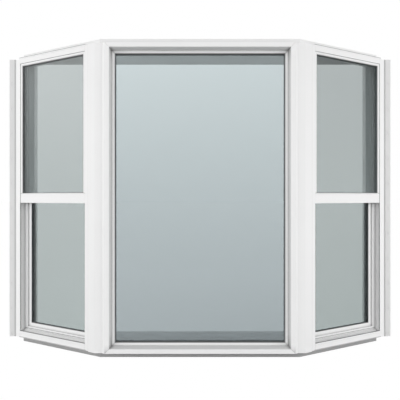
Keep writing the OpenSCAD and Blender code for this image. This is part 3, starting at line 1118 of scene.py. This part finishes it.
    def add_joint_fillet(self) -> None:
        """Adds the white fillet of sealant in the corner of the post's cover and the picture window.

        Its section is a triangle with legs of joint_fillet_mm, along the window's width and depth.
        """
        jamb_low, jamb_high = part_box(f"picture_frame_{self.side.node('jamb')}")
        root = max(abs(jamb_low.x), abs(jamb_high.x))
        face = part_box(self.side.node("post_cover"))[0].y
        width, depth = (leg * MM for leg in self.joint_fillet_mm)
        section = (
            self.side.value * (root + np.array([0.0, width, 0.0])),
            face - np.array([0.0, 0.0, depth]),
        )
        add_bar(
            self.side.node("joint_seal"), UnitAxes.centre(), Run.UP, (jamb_low.z, jamb_high.z), section,
            self.finishes.cover_upvc,
        )

    def add_screws(self) -> None:
        """Adds the lock's two screw heads, one on each end of its base."""
        low, high = self.box("sash_lock")
        foot = np.array([*(low + high)[:2] / 2, low[2] + self.lock_base_mm * MM])
        for name, reach_mm in (("near", -self.screw_reach_mm), ("far", self.screw_reach_mm)):
            points = self.screw.points(self.axes, foot + np.array([reach_mm * MM, 0.0, 0.0]))
            grid_piece(
                f"{self.side.node('lock_screw')}_{name}", points, False, self.finishes.screw
            )


@dataclass(frozen=True)
class SoftLamp:
    """A broad square lamp that neither the camera nor a mirror sees."""

    name: str
    place: tuple[float, float, float]
    power_w: float
    size: float = 2.4

    def hang(self, target: tuple[float, float, float]) -> None:
        """Hangs the lamp and turns it to its target.

        Args:
            target: the point that the lamp looks at.
        """
        lamp = bpy.data.lights.new(self.name, "AREA")
        lamp.shape = "RECTANGLE"
        lamp.size = self.size
        lamp.size_y = self.size
        lamp.energy = self.power_w
        holder = bpy.data.objects.new(self.name, lamp)
        holder.location = self.place
        holder.visible_camera = False
        holder.visible_glossy = False
        aim = np.array(target) - np.array(self.place)
        tilt, turn = math.atan2(math.hypot(aim[0], aim[1]), -aim[2]), math.atan2(-aim[0], aim[1])
        holder.rotation_euler = (tilt, 0.0, turn)
        bpy.context.scene.collection.objects.link(holder)
        LOG.info("hung %s", self.name)


@dataclass
class Studio:
    """White studio: floor, world, soft lamps and the camera."""

    floor_size: float = 180.0
    light: Glow = Glow(level=1.49, lean=(-0.03, -0.2, -1.36), peak=1.8)
    backdrop_level: float = 1.0
    lamps: tuple[SoftLamp, ...] = (
        SoftLamp("left_lamp", (-3.8, -2.4, 0.8), 66.0),
        SoftLamp("right_lamp", (3.8, -2.4, 0.8), 70.0),
        SoftLamp("room_lamp", (0.0, 2.6, 0.8), 64.0),
    )
    lamp_target: tuple[float, float, float] = (0.0, -0.1, 0.775)
    lens_mm: float = 44.1
    sensor_mm: float = 36.0
    eye_z: float = 0.775
    eye_distance: float = 2.356
    horizon_shift: float = -0.005

    def build(self) -> None:
        """Makes the floor, the world's light, the lamps and the camera."""
        self.add_floor()
        self.light_world()
        for lamp in self.lamps:
            lamp.hang(self.lamp_target)
        self.add_camera()
        bpy.context.scene.view_settings.view_transform = "Standard"

    def add_floor(self) -> None:
        """Lays the floor at the height of the seat board's foot."""
        half = self.floor_size / 2
        mesh = bpy.data.meshes.new("studio_floor")
        corners = [(-half, -half, 0.0), (half, -half, 0.0), (half, half, 0.0), (-half, half, 0.0)]
        mesh.from_pydata(corners, [], [(0, 1, 2, 3)])
        mesh.materials.append(StudioFloor().make())
        floor = bpy.data.objects.new("studio_floor", mesh)
        bpy.context.scene.collection.objects.link(floor)

    def light_world(self) -> None:
        """Makes the world white to the camera and through glass, and a soft uneven light for the rest.

        Mirrors see MIRRORED. Other surfaces are lit by light, which is fuller from below and in front.
        """
        world = bpy.data.worlds.new("studio_world")
        bpy.context.scene.world = world
        world.use_nodes = True
        tree = world.node_tree
        tree.nodes.clear()
        direction = add_node(tree, "ShaderNodeTexCoord").outputs["Generated"]
        path = add_node(tree, "ShaderNodeLightPath")
        strength = add_node(
            tree, "ShaderNodeMix",
            links={
                "Factor": path.outputs["Is Glossy Ray"],
                "A": self.light.add(tree, direction),
                "B": MIRRORED.add(tree, direction),
            },
            data_type="FLOAT",
        ).outputs["Result"]
        for kind in ("Is Camera Ray", "Is Transmission Ray"):
            strength = add_node(
                tree, "ShaderNodeMix", {"B": self.backdrop_level},
                {"Factor": path.outputs[kind], "A": strength}, data_type="FLOAT",
            ).outputs["Result"]
        glow = add_node(tree, "ShaderNodeBackground", {"Color": WHITE}, {"Strength": strength})
        add_node(tree, "ShaderNodeOutputWorld", links={"Surface": glow.outputs["Background"]})

    def add_camera(self) -> None:
        """Stands the camera straight in front of the picture window, at its mid-height."""
        data = bpy.data.cameras.new("camera")
        data.lens = self.lens_mm
        data.sensor_width = self.sensor_mm
        data.shift_y = self.horizon_shift
        camera = bpy.data.objects.new("camera", data)
        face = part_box("picture_frame_head")[0].y
        camera.location = (0.0, face - self.eye_distance, self.eye_z)
        camera.rotation_euler = (math.pi / 2, 0.0, 0.0)
        bpy.context.scene.collection.objects.link(camera)
        bpy.context.scene.camera = camera


def main() -> None:
    """Builds the window's sub-assemblies in order, after the studio."""
    logging.basicConfig(level=logging.INFO, format="%(name)s: %(message)s")
    finishes = Finishes.make()
    Studio().build()
    Boards(finishes).build()
    PictureWindow(finishes).build()
    for side in Side:
        Flanker(side, finishes).build()


if __name__ == "__main__":
    main()
